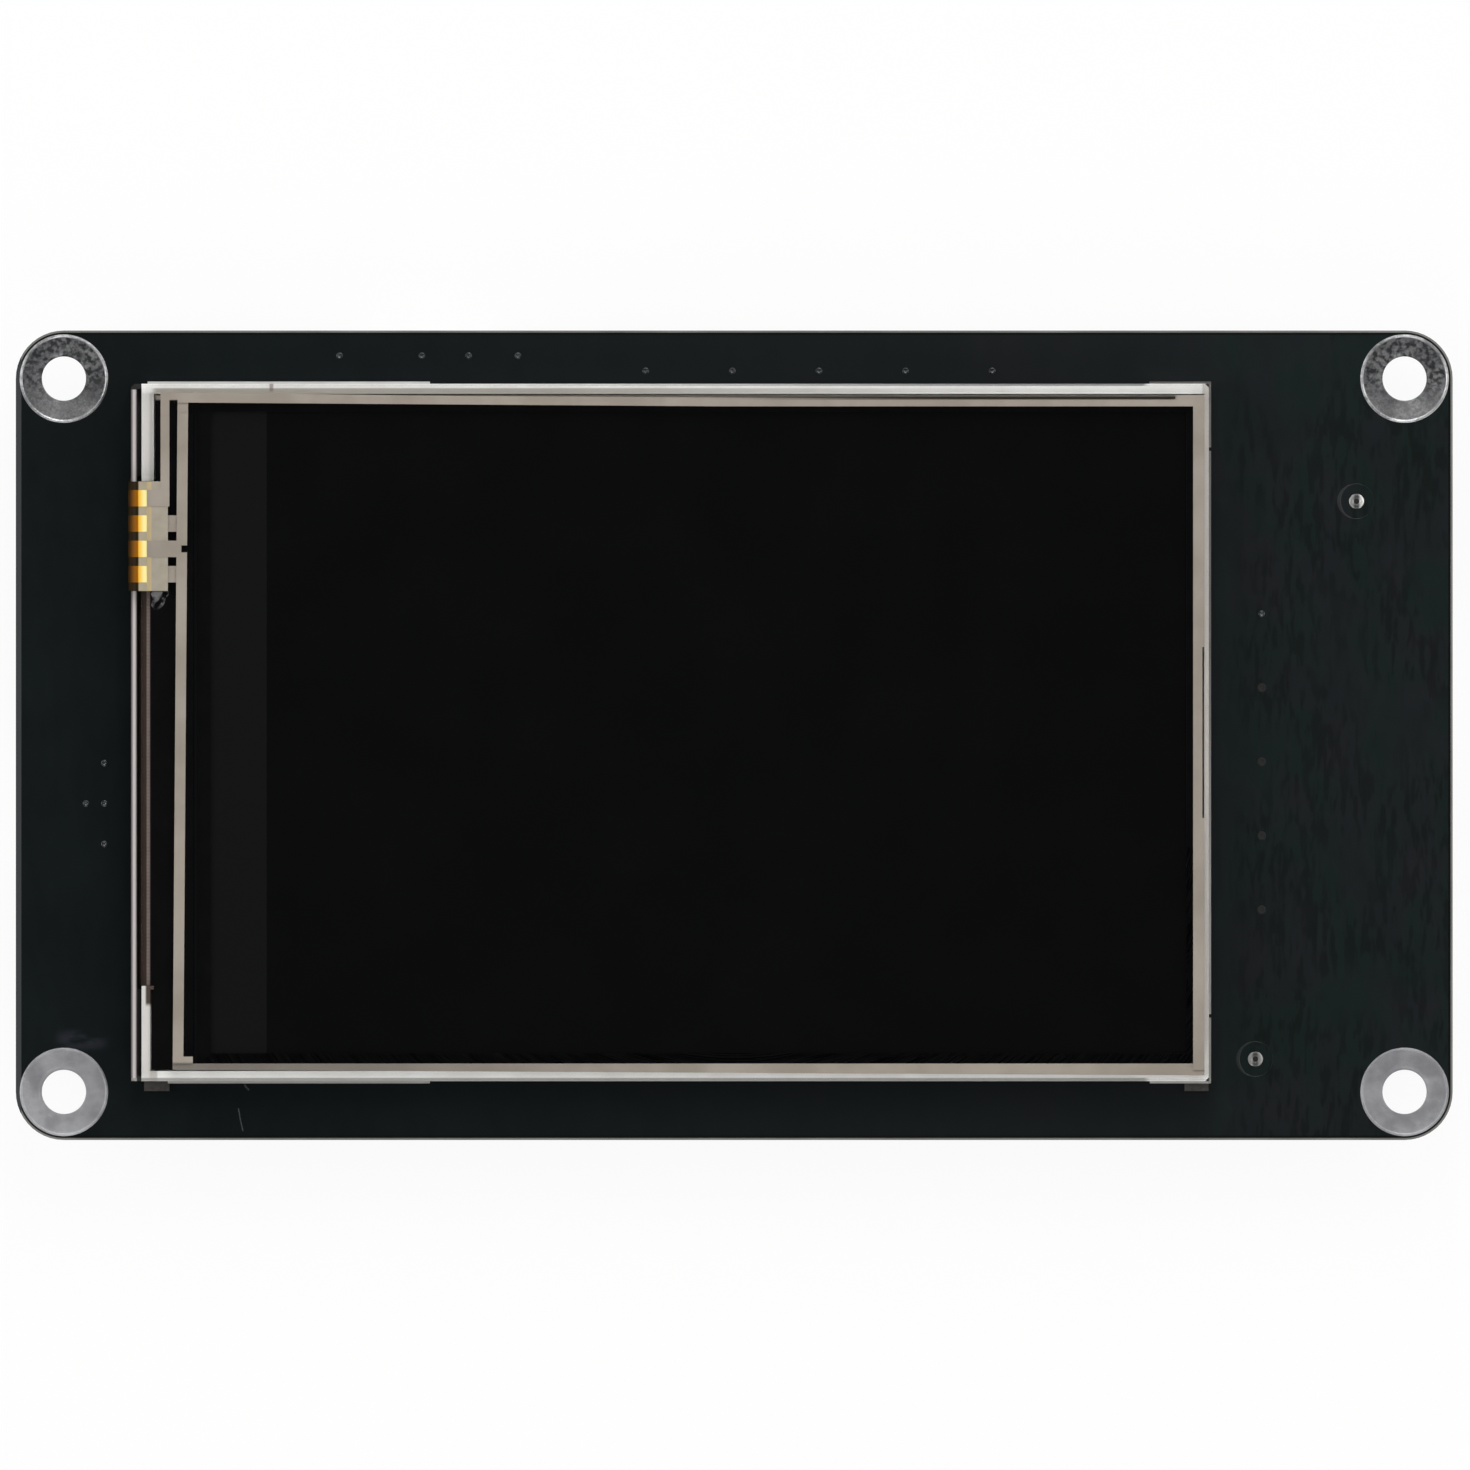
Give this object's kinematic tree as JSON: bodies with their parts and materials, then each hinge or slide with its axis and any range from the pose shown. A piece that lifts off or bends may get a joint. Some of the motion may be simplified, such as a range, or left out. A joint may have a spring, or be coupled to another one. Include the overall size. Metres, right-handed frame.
{
  "type": "tft display module",
  "caption": "Flat touch display panel mounted on a black rectangular circuit board with tinned corner holes, wire headers and a card socket behind.",
  "frame": {"origin": "centre of the four corner holes, on the rear face of the circuit board", "axes": "+Z out of the display's front, +X along the long side to the right as the front is seen, +Y up"},
  "size_m": [0.1136, 0.064, 0.0111],
  "materials": {
    "solder_mask": "satin black",
    "tinned_copper": "tinned",
    "foam_tape": "matte",
    "steel_sheet": "plain",
    "white_moulding": "matte",
    "reflector_film": "gloss",
    "clear_sheet": "clear",
    "black_tape": "matte",
    "polariser_film": "satin",
    "cell_glass": "polished",
    "clear_glass": "polished",
    "clear_film": "polished",
    "silver_ink": "matte",
    "brown_flex": "satin",
    "amber_flex": "satin",
    "gold_track": "plain",
    "lamp_body": "matte",
    "silicon": "polished",
    "chip_moulding": "matte",
    "tinned_lead": "tinned",
    "drawn_metal": "satin",
    "ferrite": "matte",
    "capacitor_ceramic": "satin",
    "resistor_ceramic": "satin",
    "gold_contact": "plain"
  },
  "bodies": {
    "root": {"circuit_board": "solder_mask", "mounting_eyelets": "tinned_copper", "flex_solder_pads": "tinned_copper", "mount_tape": "foam_tape", "backlight_pan": "steel_sheet", "card_socket_shell": "steel_sheet", "mold_frame": "white_moulding", "left_header": "white_moulding", "right_header": "white_moulding", "upper_header": "white_moulding", "reflector_sheet": "reflector_film", "light_guide": "clear_sheet", "diffuser_sheet": "clear_sheet", "prism_sheet_lower": "clear_sheet", "prism_sheet_upper": "clear_sheet", "panel_rim_tape": "black_tape", "ledge_cover": "black_tape", "touch_tape": "black_tape", "polariser_lower": "polariser_film", "polariser_upper": "polariser_film", "array_glass": "cell_glass", "filter_glass": "cell_glass", "touch_glass": "clear_glass", "touch_film": "clear_film", "touch_spacer": "clear_film", "glass_top_electrode": "silver_ink", "glass_bottom_electrode": "silver_ink", "film_left_electrode": "silver_ink", "film_right_electrode": "silver_ink", "display_flex": "brown_flex", "led_strip": "brown_flex", "touch_tail": "amber_flex", "tail_tracks": "gold_track", "backlight_leds": "lamp_body", "driver_chip": "silicon", "processor": "chip_moulding", "flash_memory": "chip_moulding", "touch_controller": "chip_moulding", "regulator": "chip_moulding", "rectifier": "chip_moulding", "capacitor_bases": "chip_moulding", "card_socket_base": "chip_moulding", "processor_leads": "tinned_lead", "flash_leads": "tinned_lead", "touch_controller_leads": "tinned_lead", "regulator_leads": "tinned_lead", "rectifier_leads": "tinned_lead", "inductor_terminals": "tinned_lead", "chip_terminals": "tinned_lead", "header_pins": "tinned_lead", "header_tabs": "tinned_lead", "crystal": "drawn_metal", "capacitor_cans": "drawn_metal", "power_inductor": "ferrite", "chip_capacitors": "capacitor_ceramic", "chip_resistors": "resistor_ceramic", "card_contacts": "gold_contact"}
  },
  "joints": []
}
